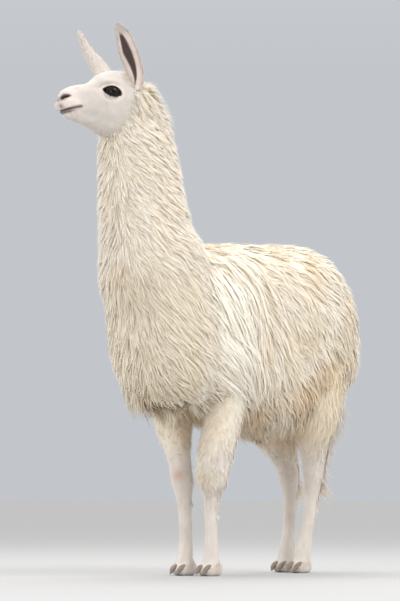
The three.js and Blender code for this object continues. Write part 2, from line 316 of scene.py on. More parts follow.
body["head"] = onHead([
    (-62, 0, 14, 54, 66, 94), (-30, 0, 18, 66, 87, 128), (4, 0, 20, 71, 91, 140), (42, 0, 20, 75, 93, 142),
    (80, 0, 18, 72, 81, 136), (106, 0, 15, 63, 63, 127), (130, 0, 12, 53, 52, 110), (152, 0, 8, 46, 51, 99),
    (178, 0, 2, 41, 51, 86), (202, 0, -6, 39, 48, 75), (219, 0, -15, 35, 40, 66), (230, 0, -22, 28, 25, 54),
], (16, 13), (2.25, 1.95), thickening(0.008, 0.55, 1.0))
ears = {
    "left": onHead([
        (-24, 50, 50, 24, 18, 14, 38), (-20, 62, 82, 29, 19, 4, 38), (-3, 71, 118, 33, 19, -10, 40),
        (19, 80, 162, 35, 17, -10, 42), (37, 84, 208, 29, 13, -7, 42), (55, 81, 243, 17, 8, -2, 42),
    ], (12, 18), (2.2, 2.2), 0.002),
    "right": onHead([
        (8, -46, 46, 32, 18, 14, -70), (24, -62, 80, 38, 20, 4, -80), (33, -88, 116, 37, 20, -10, -86),
        (51, -109, 154, 30, 18, -10, -88), (71, -123, 193, 20, 14, -7, -86), (89, -131, 239, 11, 7, -2, -82),
    ], (12, 18), (2.2, 2.2), 0.002),
}

bothSides = (("left", 1), ("right", -1))
eye = {"place": np.array([66, 52, 31]) / 1000, "solidPlace": np.array([66, 54, 31]) / 1000, "radius": 0.025,
       "gaze": math.radians(68), "tilt": math.radians(13), "length": 0.062, "above": 0.0172, "below": 0.0165,
       "frontPower": 1.5, "rearPower": 1.9}
# the solids' own frame lies beside the animal's by the way between the two places of the left eye
low, high = (np.array(corner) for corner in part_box("eye_left"))
shift = (low + high) / 2 - fromHead(eye["solidPlace"])
print("stage: limbs set, frame shift", shift.round(4))


def paint(red, green, blue):
    # a colour as the eye reads it, 0 to 255, to the light it reflects
    return (np.array([red, green, blue]) / 255) ** 2.2


# tan and chest serve as painted warm shade; soot and slate serve as dark skin and also as painted shade
tones = {
    "white": paint(251, 245, 234), "cream": paint(252, 245, 231), "sand": paint(243, 226, 196),
    "tan": paint(230, 196, 150), "chest": paint(241, 228, 203), "pink": paint(236, 216, 208),
    "slate": paint(128, 112, 108), "soot": paint(56, 40, 36), "dust": paint(190, 160, 122),
    "blush": paint(222, 168, 140), "straw": paint(226, 206, 150), "face": paint(183, 175, 168),
}
# tone, place, reach and strength of each mark: tan as painted shade behind the elbows, in the flanks, inside
# the hind legs and between the forelegs, and the knees' own tones
shadeAndKneeMarks = [
    ("tan", (0.13, 0.16, 0.52), (0.06, 0.1, 0.07), 0.8),
    ("tan", (0.13, -0.16, 0.52), (0.06, 0.1, 0.07), 0.8),
    ("tan", (-0.12, 0.2, 0.56), (0.06, 0.1, 0.06), 0.5),
    ("tan", (-0.15, -0.2, 0.56), (0.06, 0.1, 0.06), 0.5),
    ("tan", (-0.2, 0.05, 0.475), (0.06, 0.04, 0.05), 0.6),
    ("tan", (-0.25, -0.05, 0.475), (0.06, 0.04, 0.05), 0.5),
    ("tan", (0.3, 0.0, 0.55), (0.07, 0.035, 0.09), 0.7),
    ("blush", (0.31, -0.054, 0.342), (0.03, 0.022, 0.022), 0.6),
    ("straw", (0.31, 0.075, 0.335), (0.03, 0.03, 0.028), 0.7),
]


def blend(base, tone, amount):
    # from the base towards the tone, by the amount
    tone = tones[tone] if isinstance(tone, str) else tone
    return base + (tone - base) * amount[..., None]


def painted(base, coats):
    # each tone laid over the base in turn, by its own amount
    for tone, amount in coats:
        base = blend(base, tone, amount)
    return base


def coatTint(p):
    # The same tones for skin and coat: cream on the trunk, whiter on the chest, neck and face, greyish pink
    # towards the feet. Tan under the belly, inside the legs, along the crease and in the tan marks is
    # painted warm shade, and so is the chest tone low on the front of the chest.
    x, y, z = xyz(p)
    forward = ease(x, 0.2, 0.45) * ease(z, 0.5, 0.75)
    under = fade(z, 0.5, 0.6) * ease(z, 0.4, 0.47) * fade(np.abs(y), 0.08, 0.2)
    arm = bell(x - 0.27, 0.1) * ease(np.abs(y), 0.03, 0.07)
    leg = fade(z, 0.36, 0.5)
    # chest and tan here are painted warm shade: low on the chest, under the belly and along the crease
    return painted(np.broadcast_to(tones["cream"], p.shape), [
        ("white", forward * 0.7), ("chest", ease(x, 0.36, 0.52) * fade(z, 0.8, 1.15) * 0.5),
        ("sand", np.clip(0.4 * ripple(p, 0.22, 3) + 0.2, 0, 1) * (1 - 0.7 * forward)),
        ("tan", under * 0.4 * (1 - arm)), ("white", 0.5 * arm * fade(z, 0.6, 0.66)),
        ("white", leg * 0.7), ("pink", leg * (0.3 + 0.15 * ripple(p, 0.08, 5))),
        ("tan", 0.8 * bell(nearCrease(p), 0.04) * fade(z, 0.68, 0.8)),
    ] + [(tone, amount * mound(p, place, reach)) for tone, place, reach, amount in shadeAndKneeMarks])


def putMesh(name, points, faces, tint=None):
    # faces are rows of three or four indices, in one array or a list of them
    mesh = bpy.data.meshes.new(name)
    faces = [np.asarray(f, np.int64) for f in (faces if isinstance(faces, list) else [faces])]
    mesh.vertices.add(len(points))
    mesh.vertices.foreach_set("co", (points + shift).astype(np.float32).ravel())
    loops = np.concatenate([f.ravel() for f in faces]).astype(np.int32)
    sizes = np.concatenate([np.full(len(f), f.shape[1]) for f in faces])
    mesh.loops.add(len(loops))
    mesh.loops.foreach_set("vertex_index", loops)
    mesh.polygons.add(len(sizes))
    mesh.polygons.foreach_set("loop_start", np.concatenate([[0], np.cumsum(sizes)[:-1]]).astype(np.int32))
    mesh.polygons.foreach_set("use_smooth", np.ones(len(sizes), bool))
    mesh.update(calc_edges=True)
    if tint is not None:
        putTint(mesh, tint)
    piece = bpy.data.objects.new(name, mesh)
    bpy.context.collection.objects.link(piece)
    return piece


def putTint(mesh, tint):
    # a colour for each point, which the materials read by its name
    colours = mesh.attributes.new("tint", "FLOAT_COLOR", "POINT")
    four = np.ones((len(mesh.vertices), 4), np.float32)
    four[:, : tint.shape[1]] = tint
    colours.data.foreach_set("color", four.ravel())


def gridQuads(rings, sides, closed=False):
    # quads between rings of points, and from the last ring to the first where closed
    r, k = np.meshgrid(np.arange(rings - (not closed)), np.arange(sides), indexing="ij")
    a, b = (r * sides + k).ravel(), (r * sides + (k + 1) % sides).ravel()
    c, d = ((v + sides) % (rings * sides) for v in (a, b))
    return np.stack([a, b, d, c], -1)


def tubeFaces(rings, sides):
    # the quads, with the first and last ring closed to the two points that follow them
    k = np.arange(sides)
    after, start, last = (k + 1) % sides, rings * sides, (rings - 1) * sides
    first = np.stack([start + 0 * k, after, k], -1)
    second = np.stack([start + 1 + 0 * k, last + k, last + after], -1)
    return [gridQuads(rings, sides), np.vstack([first, second])]


def closedLimb(part, rings, sides, domes=8):
    # points of a closed limb, its depth below the coat: ring by ring with domed ends, and then the two poles
    t = np.concatenate([np.linspace(-0.97, 0, domes, endpoint=False), np.linspace(0, 1, rings),
                        np.linspace(0, 0.97, domes + 1)[1:] + 1])
    t, angle = np.meshgrid(t, around(sides), indexing="ij")
    ends = onLimb(part, np.zeros(2), np.array([-1.0, 2.0]), -part["depth"](0.0, np.array([0.0, 1.0])))
    grid = onLimb(part, angle, t, -part["depth"](angle, np.clip(t, 0, 1)))
    return np.vstack([grid.reshape(-1, 3), ends]), tubeFaces(len(t), sides), angle, t


# body skin: the limbs joined, remeshed as one surface and smoothed, with flat soles
skinWork = {"voxel": 0.0099, "smoothing": 7, "creaseSmoothing": 2, "sole": 0.0002}


def joined(parts):
    # one list of points, with each part's quads and triangles counted on from where its points start
    starts = np.cumsum([0] + [len(p) for p, faces in parts])
    faces = [np.vstack([faces[i] + start for (p, faces), start in zip(parts, starts)]) for i in (0, 1)]
    return np.vstack([p for p, faces in parts]), faces


rough = putMesh("roughSkin", *joined(
    [closedLimb(part, 60, 48)[:2] for name, part in body.items() if name != "head"]
    + [closedLimb(part, 14, 16, 4)[:2] for part in toes.values()]))
remesh = rough.modifiers.new("remesh", "REMESH")
remesh.mode, remesh.voxel_size = "VOXEL", skinWork["voxel"]
soften = rough.modifiers.new("soften", "SMOOTH")
soften.factor = 0.5


def softened(iterations):
    # the remeshed skin after so many rounds of smoothing
    soften.iterations = iterations
    made = bpy.data.meshes.new_from_object(rough.evaluated_get(bpy.context.evaluated_depsgraph_get()))
    points = np.zeros(len(made.vertices) * 3)
    made.vertices.foreach_get("co", points)
    return made, points.reshape(-1, 3) - shift


# the wooled body keeps its creases, and the short-haired legs are smooth
made, bodyPoints = softened(skinWork["smoothing"])
creased = softened(skinWork["creaseSmoothing"])[1]
bodyPoints += (creased - bodyPoints) * ease(creased[:, 2:], 0.56, 0.7)
bodyPoints[:, 2] = np.maximum(bodyPoints[:, 2], skinWork["sole"])
bodyFaces = np.zeros(len(made.loops), np.int32)
made.loops.foreach_get("vertex_index", bodyFaces)
bodyFaces = bodyFaces.reshape(-1, 4)
bpy.data.objects.remove(rough)
print("stage: body skin", len(bodyPoints), "points")


# head skin: the head limb with swellings, hollows, nostrils, lips and the lids round each eye
def eyeWays(side):
    # the eye's own directions: along its length towards the nose, up, and out the way it looks
    c, s = math.cos(eye["gaze"]), math.sin(eye["gaze"])
    gaze, ahead = np.array([c, side * s, 0]), np.array([s, -side * c, 0])
    c, s = math.cos(eye["tilt"]), math.sin(eye["tilt"])
    up = np.array([0, 0, 1.0])
    return ahead * c + up * s, up * c - ahead * s, gaze


def ballDepth(x, y):
    # how far the eyeball reaches along the gaze at x and y off its middle: a circle's height
    square = eye["radius"] ** 2
    return np.sqrt(np.maximum(square - np.minimum(x * x + y * y, square * 0.96), 0))


# place on the left side in millimetres, reach the same three ways, push outwards
swellings = [
    ((68, 66, 60), (32, 26, 14), 6), ((66, 72, 2), (30, 24, 10), 3), ((14, 70, -50), (50, 30, 46), 5),
    ((112, 48, 14), (22, 20, 16), -4), ((150, 42, -52), (40, 20, 14), -4), ((224, 31, 29), (15, 15, 9), 4),
    ((252, 6, 16), (14, 26, 13), -6), ((248, 10, -1), (14, 26, 6), -7), ((240, 21, -23), (17, 14, 12), 7),
    ((252, 0, -22), (15, 4, 22), -6), ((224, 12, -58), (15, 20, 8), 4), ((229, 20, -48), (15, 20, 5), -3.5),
    ((-14, 0, 96), (34, 44, 30), 6), ((150, 40, 30), (40, 12, 10), 2), ((120, 0, 62), (50, 14, 20), -1.5),
    ((195, 40, -14), (24, 20, 8), 2.5), ((176, 44, -34), (10, 14, 16), -2.5),
    ((90, 70, -66), (60, 30, 14), -3), ((210, 40, -4), (18, 16, 7), 2),
]
nostril = {"front": (247, 12, 2), "top": (237, 26, 9), "tail": (207, 39, 14), "reach": 7.5, "depth": 12}
mouth = {"front": (242, 0, -42), "corner": (180, 44, -23), "half": 3.0, "depth": 7}


def faceForms(p, normal):
    # p in millimetres in the head's own frame: every form is a bell curve that moves it along its normal
    leftSide = folded(p)
    move = np.zeros(p.shape[:-1])
    for place, reach, push in swellings:
        move += push * mound(leftSide, place, reach)
    mouthPlace, mouthOff = nearLine(leftSide, mouth["front"], mouth["corner"])
    below = (mouth["front"][2] + mouthPlace * (mouth["corner"][2] - mouth["front"][2])) - leftSide[..., 2]
    off = np.abs(below)
    inLine = fade(mouthOff, 12, 22)
    move -= mouth["depth"] * bell(off, mouth["half"]) * inLine * bell(np.maximum(mouthOff - off, 0), 16)
    move += 1.6 * bell(off - 7, 4) * inLine
    w1, d1 = nearLine(leftSide, nostril["front"], nostril["top"])
    w2, d2 = nearLine(leftSide, nostril["top"], nostril["tail"])
    r1, r2 = nostril["reach"] * (0.85 + 0.15 * w1), nostril["reach"] * (1 - 0.72 * w2)
    hole = np.minimum(d1 / r1, d2 / r2)
    move -= nostril["depth"] * fade(hole, 0.55, 1.25)
    move += 1.3 * bell(hole - 1.5, 0.35)
    lip = ease(below, -1, 2) * fade(below, 7, 14) * fade(mouthPlace, 0.45, 0.85) * inLine
    return p + normal * move[..., None], hole, off / mouth["half"] + 9 * (1 - inLine), lip


lidWork = {"behind": 0.007, "thick": 0.0035, "brow": 0.001, "fold": 0.0022, "foldPlace": 1.45,
           "foldWidth": 0.13}


def lids(p):
    # p in metres in the head's own frame. almond is 1 on the edge of the opening, measured in half sizes.
    # Inside it the skin dives behind the eyeball, and round it it swells into lids over the ball.
    almonds = []
    for name, side in bothSides:
        ahead, up, gaze = eyeWays(side)
        off = p - eye["place"] * [1, side, 1]
        x, y, z = off @ ahead, off @ up, off @ gaze
        tall = np.where(y > 0, eye["above"], eye["below"])
        power = np.where(x > 0, eye["frontPower"], eye["rearPower"])
        almond = ((np.abs(x) / (eye["length"] / 2)) ** power + (np.abs(y) / tall) ** power) ** (1 / power)
        almond = np.where(z > 0, almond, 9.0)
        # the ball and the lids keep one shape along the gaze: moved in or out along it only
        flat = ballDepth(x, y)
        inside = flat - lidWork["behind"]
        lid = flat + lidWork["thick"] + lidWork["brow"] * ease(y, -0.004, 0.008)
        fold = lidWork["fold"] * bell(almond - lidWork["foldPlace"], lidWork["foldWidth"]) * (y > 0)
        ball = 1 - ease(almond, 1.25, 2.35)
        wanted = inside + (lid - inside) * ease(almond, 0.92, 1.02)
        reach = z + (wanted - fold - z) * ball
        p = p + gaze * np.where(almond < 3, reach - z, 0)[..., None]
        almonds.append(almond)
    return p, np.minimum(*almonds)


headCells = {"sides": 190, "rings": 205}


def headGrid():
    # the head's limb as a closed grid with its forms and lids, and the four distances that its tint reads
    part = body["head"]
    bare = {**part, "spin": np.eye(3), "place": np.zeros(3)}
    w = np.linspace(-0.9, 1, headCells["rings"])  # rings close up towards the muzzle
    t = np.where(w < 0, w, w * (1 + 0.25 * (1 - w)))
    t = np.concatenate([t[t < 1], np.linspace(1, 1.97, 26)])
    angle = around(headCells["sides"])
    t, angle = np.meshgrid(t, angle + 0.22 * np.sin(2 * angle), indexing="ij")  # and round the sides
    inset = -part["depth"](angle, np.clip(t, 0, 1))
    p = onLimb(bare, angle, t, inset)
    normal = slopes(bare, angle, t, inset)[2]
    p, hole, lips, lip = faceForms(p * 1000, normal)
    p, almond = lids(p / 1000)
    ends = np.stack([p[0].mean(0), p[-1].mean(0)])
    rings = len(p)
    p = np.vstack([p.reshape(-1, 3), ends])
    shades = ((hole, 9), (lips, 9), (lip, 0), (almond, 9))
    return p, tubeFaces(rings, headCells["sides"]), [np.append(v, [last, last]) for v, last in shades]


headPoints, headFaces, (hole, lips, lip, almond) = headGrid()
headLocal = headPoints * 1000
headPoints = fromHead(headPoints)


def patch(place, reach):
    # a mark on both sides of the head
    return mound(folded(headLocal), place, reach)


headTint = painted(coatTint(headPoints), [
    # the face's tone, and with the dust tone a brownish patch beside each ear's base
    ("face", np.full(len(headPoints), 0.8)), ("dust", 0.3 * patch((14, 52, 76), (15, 14, 16))),
    ("pink", 0.6 * patch((215, 30, 0), (45, 60, 45))),
    ("slate", (0.15 + 0.65 * ease(headLocal[:, 1], -4, 4)) * patch((242, 20, -24), (15, 14, 11))),
    # lip: the lower lip's dark pigment with painted shade under the upper lip; hole: painted shade in and
    # round each nostril
    ("soot", 0.8 * lip), ("slate", 0.75 * fade(hole, 1.1, 2.6)), ("soot", 0.95 * fade(hole, 0.85, 1.25)),
    # painted shadow along the mouth line
    ("slate", 0.7 * fade(lips, 1.0, 3.2)), ("soot", 0.8 * fade(lips, 0.3, 1.0)),
    ("pink", 0.5 * fade(almond, 1.2, 1.9)), ("soot", 0.95 * fade(almond, 1.03, 1.14)),
])


def earGrid(part):
    # a closed limb, pink inside, and painted shade in a dark slit down its hollow that is widest at 0.6 of
    # its length
    p, faces, angle, t = closedLimb(part, 50, 80)
    edge = np.cos(angle)
    inner = ease(-np.sin(angle), 0.05, 0.3) * ease(edge, -0.95, -0.75) * (1 - ease(edge, 0.6, 0.85))
    middle, half = 0.02 - 0.42 * t, 0.12 + 0.42 * np.clip(1 - np.abs(t - 0.6) / 0.45, 0, 1) ** 0.8
    hollow = inner * fade(np.abs(edge - middle) / half, 0.45, 1.25) * ease(t, -0.05, 0.1)
    hollow = hollow * (1 - ease(t, 0.82, 0.98))
    inner, hollow = (np.append(v.ravel(), [0, 0]) for v in (inner * (1 - ease(t, 0.8, 0.95)), hollow))
    bare = np.broadcast_to(tones["face"] * 1.12, p.shape)
    # the soot in the slit is painted shade in the ear's hollow
    return p, faces, painted(bare, [("pink", inner * 0.8), ("soot", 0.95 * ease(hollow, 0.05, 0.95))])


# the skin under the wool is laid towards sand: painted shade seen between the locks
wooled = ease(bodyPoints[:, 2], 0.36, 0.52)
bodyTint = blend(coatTint(bodyPoints), "sand", wooled * 0.35) * (0.74 + 0.2 * wooled[:, None])
pieces = [(bodyPoints, [bodyFaces, np.zeros((0, 3), int)], bodyTint), (headPoints, headFaces, headTint)]
pieces += [earGrid(part) for part in ears.values()]
skinPoints, skinFaces = joined([(p, f) for p, f, tint in pieces])
skin = putMesh("skin", skinPoints, skinFaces, np.vstack([tint for p, f, tint in pieces]))
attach(skin, "root")
fleshNodes = ["head", "neck", "trunk", "tail", "ear_left", "ear_right"]
fleshNodes += [f"leg_{end}_{side}" for end in ("front", "hind") for side in ("left", "right")]
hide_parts(*fleshNodes)
print("stage: skin", len(skinPoints), "points")


def ballGrid(radius, sides=64, rings=40):
    # a sphere about its own gaze axis x, pole first, and the angle from the axis at each point
    lean = np.linspace(0, np.pi, rings + 2)[1:-1]
    lean, turn = np.meshgrid(lean, around(sides), indexing="ij")
    p = np.stack([np.cos(lean), np.sin(lean) * np.cos(turn), np.sin(lean) * np.sin(turn)], -1) * radius
    p = np.vstack([p.reshape(-1, 3), [[radius, 0, 0], [-radius, 0, 0]]])
    return p, np.append(lean.ravel(), [0, np.pi]), tubeFaces(rings, sides)


def placedEye(side, p):
    # from the eyeball's own frame to the animal's
    ahead, up, gaze = eyeWays(side)
    turned = p[:, :1] * gaze + p[:, 1:2] * ahead * side + p[:, 2:3] * up
    return fromHead(turned + eye["place"] * [1, side, 1])


# the iris and the bulge end between two angles off the gaze, and the pupil is a lying squarish oval
look = {"iris": (30, 38), "bulge": (24, 44), "bulgeHeight": 0.0011, "pupil": (0.0085, 0.0042),
        "pupilPower": 2.6, "rays": 46, "ball": paint(24, 18, 17), "ring": paint(20, 14, 12),
        "ray": paint(46, 30, 22), "dark": paint(6, 6, 9)}
eyePieces = []
for name, side in bothSides:
    p, lean, faces = ballGrid(eye["radius"])
    iris, bulge = (1 - ease(lean, *np.radians(look[key])) for key in ("iris", "bulge"))
    x, z = np.abs(p[:, 1] / look["pupil"][0]), np.abs(p[:, 2] / look["pupil"][1])
    q = look["pupilPower"]
    pupil = 1 - ease((x ** q + z ** q) ** (1 / q), 0.85, 1.12)
    rays = 0.5 + 0.5 * np.sin(np.arctan2(p[:, 2], p[:, 1]) * look["rays"])
    dark = np.maximum(pupil, 0.75 * ease(lean, 0.5, 0.62) * iris) * (lean < 1.2)
    tint = painted(np.broadcast_to(look["ball"], p.shape), [
        (look["ring"], iris), (look["ray"], iris * rays * 0.3), (look["dark"], dark)])
    p = p + unit(p) * look["bulgeHeight"] * bulge[:, None]
    piece = putMesh(f"eye.{name}", placedEye(side, p), faces, tint)
    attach(piece, "root")
    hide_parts(f"eye_{name}")
    eyePieces.append(piece)


def lidEdge(side, turn, out):
    # the almond's edge on the ball: a squarish oval, then out along the gaze to the ball's surface
    c, s = np.cos(turn), np.sin(turn)
    power = 2 / np.where(c > 0, eye["frontPower"], eye["rearPower"])
    x = eye["length"] / 2 * signedPower(c, power)
    y = np.where(s > 0, eye["above"], eye["below"]) * signedPower(s, power)
    ahead, up, gaze = eyeWays(side)
    way = x[..., None] * ahead + y[..., None] * up + (ballDepth(x, y) + out)[..., None] * gaze
    return fromHead(way + eye["place"] * [1, side, 1])


rim = {"sides": 10, "steps": 120, "thick": 0.0014, "lift": 0.0024, "tone": paint(30, 24, 22)}
rimPieces = []
for name, side in bothSides:
    centre = lidEdge(side, around(rim["steps"]), rim["lift"])
    along = unit(np.roll(centre, -1, 0) - np.roll(centre, 1, 0))
    outward = (eyeWays(side)[2] @ body["head"]["spin"].T)[None]
    outward = unit(outward - dot(along, outward) * along)
    ring = around(rim["sides"])[None, :, None]
    bead = np.cos(ring) * np.cross(along, outward)[:, None] + np.sin(ring) * outward[:, None]
    p = (centre[:, None] + rim["thick"] * bead).reshape(-1, 3)
    faces = gridQuads(rim["steps"], rim["sides"], closed=True)[:, [0, 3, 2, 1]]
    piece = putMesh(f"lidRim.{name}", p, faces, np.broadcast_to(rim["tone"], p.shape))
    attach(piece, "root")
    rimPieces.append(piece)

claw = {"rings": 30, "sides": 28, "domes": 5, "tone": paint(126, 114, 104)}
clawPieces = []
for (leg, place), part in claws.items():
    p, faces = closedLimb(part, claw["rings"], claw["sides"], claw["domes"])[:2]
    node = "claw_" + leg[3:].replace("Left", "_left").replace("Right", "_right").lower() + "_" + place
    piece = putMesh(node.replace("_", "."), p, faces, np.broadcast_to(claw["tone"], p.shape))
    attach(piece, "root")
    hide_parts(node)
    clawPieces.append(piece)
print("stage: eyes, lids and claws")

# the coat: how roots are scattered, and how much strands differ in length, cut and width
coatWork = {"tries": 3000, "crowded": 0.985, "inset": 0.075, "lengths": (0.75, 1.2), "cuts": (0.6, 1.08),
            "widths": (0.55, 1.35), "flat": 0.09, "wash": (0.88, 0.865, 0.845), "speckle": 0.035}
plasticNumber = 1.3247179572447460  # the root of x cubed = x + 1


def spread(count, seed):
    # evenly scattered points in a unit square: steps by the inverse powers of the plastic number
    steps = np.arange(1, count + 1)[:, None] * [1 / plasticNumber, 1 / plasticNumber ** 2]
    return (np.random.default_rng(seed).random(2) + steps) % 1


def scatter(part, count, seed, tRange, angles, thin):
    # roots over the skin, as many to each piece of area as its size times thin
    source = np.random.default_rng(seed)
    angles = [v * np.pi for v in angles]

    def tried(number):
        # so many places, and the size of the skin's patch at each, times thin
        tries = spread(number, seed)
        angle = angles[0] + tries[:, 0] * (angles[1] - angles[0])
        t = tRange[0] + tries[:, 1] * (tRange[1] - tRange[0])
        byAngle, byT, normal = slopes(part, angle, t, 0.0)
        area = np.linalg.norm(np.cross(byAngle, byT), axis=-1)
        return angle, t, area * thin(onLimb(part, angle, t), angle, t)

    area = tried(coatWork["tries"])[2]
    limit = np.quantile(area, coatWork["crowded"])
    angle, t, area = tried(int(count * limit / np.minimum(area, limit).mean()))
    keep = source.random(len(area)) < area / limit
    return angle[keep], t[keep]


def walk(part, angle, t, flow, length, height, loose, sink, style):
    # Carries each lock over the limb: a step along the flow, then back onto the surface at the lock's
    # height. Where a lock is loose it leaves the surface and falls instead.
    steps, hang = style["steps"], loose[:, None]
    depth = part["depth"](angle, np.clip(t, 0, 1))
    spine, normals = [], []
    for i in range(steps + 1):
        s = i / steps
        out = -depth - style["dip"] * (i == 0) + (depth + height) * (1 - (1 - s) ** 2)
        if i == 1:
            height = height - sink(p)
        p = onLimb(part, angle, t, out)
        byAngle, byT, normal = slopes(part, angle, t, out)
        way = flow(p, normal)
        way = unit(way - dot(way, normal) * normal)
        if spine:
            fall = unit(lastWay * (1 - 0.55 * s * hang) + 0.12 * normal + np.array([0, 0, -1.2]) * s * hang)
            p = p + (spine[-1] + fall * (length / steps)[:, None] - p) * hang
        spine.append(p)
        normals.append(normal)
        lastWay = way
        # the step in angle and t that makes this way: two equations, solved by their determinant
        aa, at, bb, ga, gt = (dot(v, w)[:, 0] for v, w in (
            (byAngle, byAngle), (byAngle, byT), (byT, byT), (way, byAngle), (way, byT)))
        step = length / steps / np.maximum(aa * bb - at * at, 1e-9)
        angle = angle + np.clip((ga * bb - gt * at) * step, -0.5, 0.5)
        t = np.clip(t + np.clip((gt * aa - ga * at) * step, -0.3, 0.3), -0.97, 1.97)
    return np.stack(spine, 1), np.stack(normals, 1)


def bladeFaces(steps):
    # three sides at every step, a root and a pointed tip, and which of them are the underside
    faces, under = [(0, 2, 1)], [True]
    for i in range(steps - 1):
        for k in range(3):
            a, b = i * 3 + k, i * 3 + (k + 1) % 3
            faces += [(a, b, b + 3), (a, b + 3, a + 3)]
            under += [k == 0] * 2
    last = (steps - 1) * 3
    faces += [(last + k, last + (k + 1) % 3, last + 3) for k in range(3)]
    return np.array(faces)[:, ::-1], np.array(under + [True, False, False])


blade = {"widths": (1.0, 0.95, 0.6), "ridge": 0.13, "rootShade": (0.0, 0.02, 0.05)}


def blades(name, spine, up, wide, uv, tint, soft):
    # Each lock is a closed blade: a three-cornered section at every step of its spine but the last, which is
    # its tip. The section is wide across and low along up, and the widths say how wide at each step.
    count, steps = spine.shape[0], spine.shape[1] - 1
    along = unit(np.gradient(spine, axis=1))[:, :steps]
    up = unit(up[:, :steps] - dot(up[:, :steps], along) * along)
    across = np.cross(along, up)
    widths = np.interp(np.linspace(0, 1, steps, endpoint=False), np.linspace(0, 0.8, 3), blade["widths"])
    size = (wide[:, None] * widths)[..., None]
    base = spine[:, :steps]
    half = across * size / 2
    ring = np.stack([base - half, base + half, base + up * size * blade["ridge"]], 2)
    points = np.concatenate([ring.reshape(count, steps * 3, 3), spine[:, -1:]], 1)
    faces, under = bladeFaces(steps)
    start = (np.arange(count) * points.shape[1])[:, None, None]
    piece = putMesh(name, points.reshape(-1, 3), (faces[None] + start).reshape(-1, 3))
    # the locks are shaded mostly as the coat's own surface, and a little as single blades
    soft = soft[..., None, None]
    bare = np.stack([up * 0.6 - across, up * 0.6 + across, up * 2.2], 2).reshape(count, steps * 3, 3)
    bare = np.concatenate([bare, along[:, -1:]], 1)
    coat = np.concatenate([np.repeat(up, 3, axis=1), up[:, -1:]], 1)
    shading = unit(unit(bare) * (1.6 - soft) + coat * soft)
    shading = np.where(under[None, :, None, None], -coat[:, faces], shading[:, faces]).astype(np.float32)
    piece.data.normals_split_custom_set(shading.reshape(-1, 3))
    s = np.append(np.repeat(np.arange(steps) / steps, 3), 1)
    x = np.append(np.tile([0, 1, 0.5], steps), 0.5)
    # painted shade at each strand's root: a little darker and warmer towards the skin
    root = np.clip(1 - s * 1.8, 0, 1)[None, :, None] * blade["rootShade"]
    putTint(piece.data, np.clip(tint[:, None, :] * (1 - root), 0, 0.97).reshape(-1, 3))
    # a small patch for each lock at its root's place, and a second map that runs along each lock
    low, high = uv.min(0), uv.max(0)
    root = 0.002 + 0.996 * (uv - low) / (high - low)
    local = np.stack([x, s], -1)[faces.ravel()]
    bake = np.clip(root[:, None, :] + 0.003 * (local[None] - 0.5), 0, 1)
    lay = local[None] + np.arange(count)[:, None, None] * [0.37, 0.61]
    for key, layer in (("OFBake", bake), ("hairLay", lay)):
        piece.data.uv_layers.new(name=key).data.foreach_set("uv", layer.astype(np.float32).ravel())
    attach(piece, "root")
    coatPieces.append(piece)
    return piece


coatPieces = []
# where a piece grows: along the limb, round it in half turns from the left over the top, and by place
everywhere = {"tRange": (-0.9, 1.9), "angles": (0, 2), "where": lambda p: np.ones(len(p), bool),
              "thin": lambda p, angle, t: 1.0, "tint": lambda p, tint: tint, "keepOut": (),
              "sink": lambda p: 0 * p[..., 0]}


